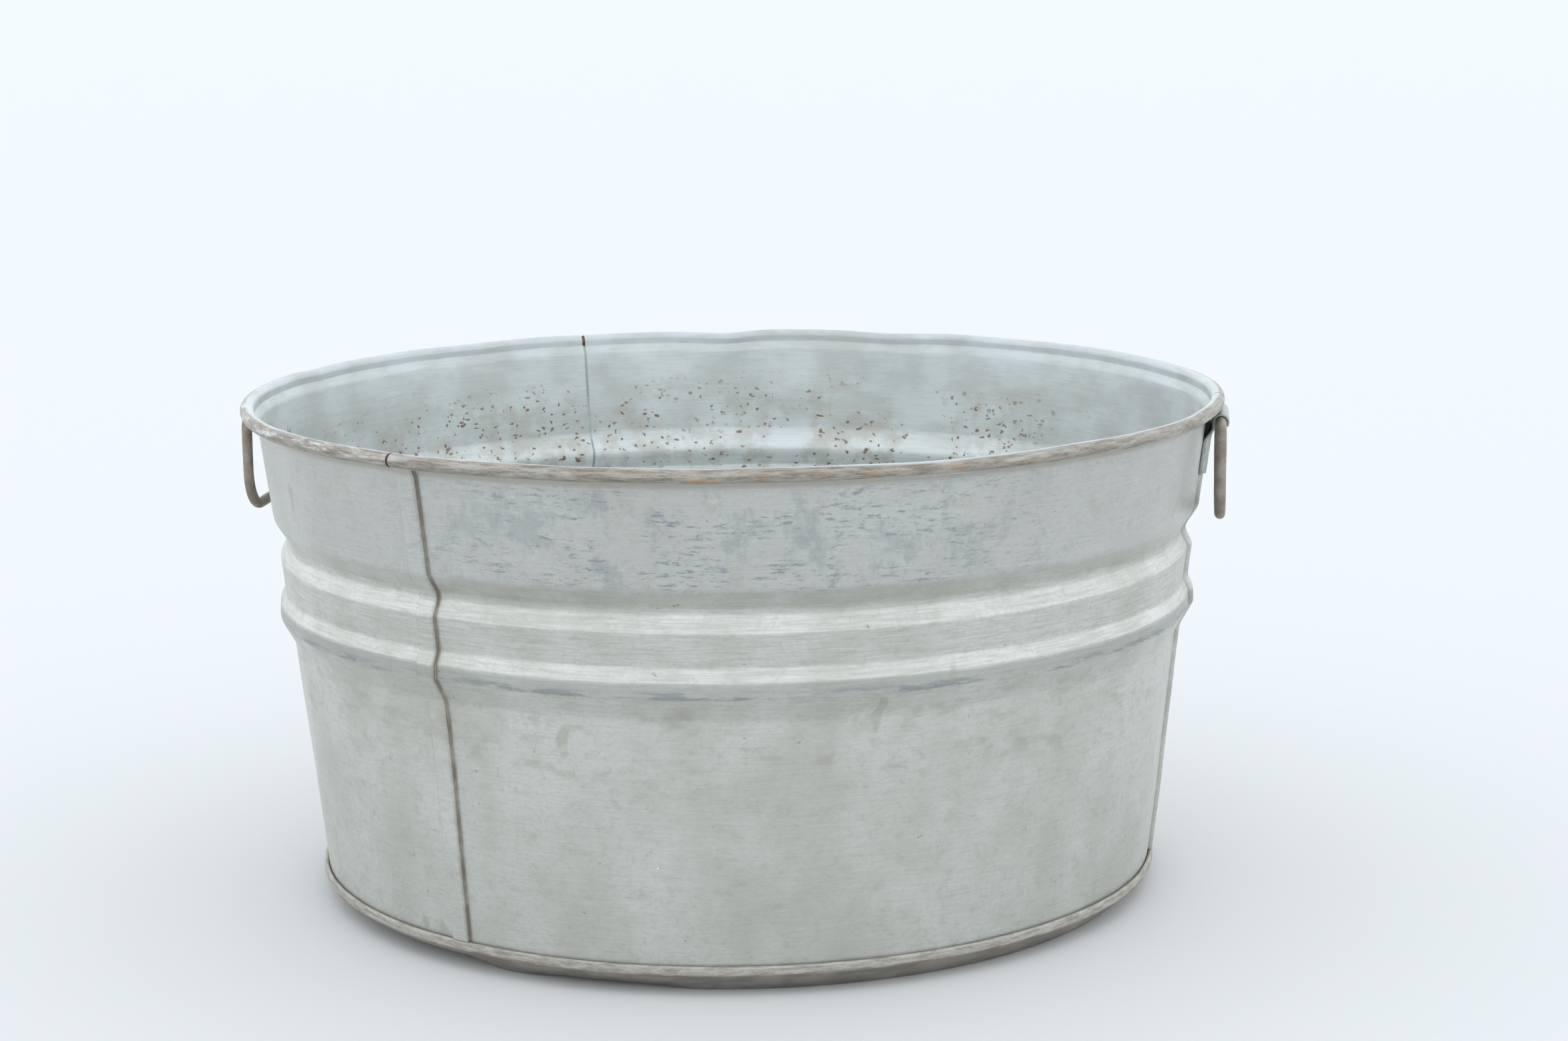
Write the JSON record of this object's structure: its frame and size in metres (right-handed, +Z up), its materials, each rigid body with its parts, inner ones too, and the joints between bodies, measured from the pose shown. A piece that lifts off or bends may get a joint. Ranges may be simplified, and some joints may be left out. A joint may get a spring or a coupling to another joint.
{
  "type": "wash tub",
  "caption": "Round galvanised steel wash tub with a wired rim, swaged ribs, lock seamed sides, a double seamed bottom and hinged drop handles.",
  "frame": {"origin": "centre of the footprint, on the floor", "axes": "+Z up through the middle of the tub; the drop handles are at +X and -X; one upright seam is behind the +X handle"},
  "size_m": [0.5932, 0.588, 0.298],
  "materials": {
    "galvanised_sheet": "hot dip galvanised sheet, dulled grey, brushed and stained",
    "galvanised_bottom": "hot dip galvanised sheet, browned and worn at the hem",
    "rim_wire": "steel wire, rusted where the roll leaves it bare",
    "galvanised_bracket": "pressed galvanised plate, slightly greened",
    "rivets": "galvanised steel rivet",
    "handle_rod": "steel rod, zinc worn away to a brown grey skin of rust"
  },
  "bodies": {
    "tub": {"wall_panel_rear": "galvanised_sheet", "wall_panel_left": "galvanised_sheet", "wall_panel_front": "galvanised_sheet", "bottom_pan": "galvanised_bottom", "rim_wire": "rim_wire", "right_bracket": "galvanised_bracket", "right_rivets": "rivets", "left_bracket": "galvanised_bracket", "left_rivets": "rivets"},
    "right_handle": {"right_drop_handle": "handle_rod"},
    "left_handle": {"left_drop_handle": "handle_rod"}
  },
  "joints": [
    {"name": "right_handle_swing", "type": "hinge", "parent": "tub", "child": "right_handle", "pos_m": [0.2918, 0, 0.283], "axis": [0, -1, 0], "range_deg": [-7, 158]},
    {"name": "left_handle_swing", "type": "hinge", "parent": "tub", "child": "left_handle", "pos_m": [-0.2918, 0, 0.283], "axis": [0, 1, 0], "range_deg": [-7, 158]}
  ]
}
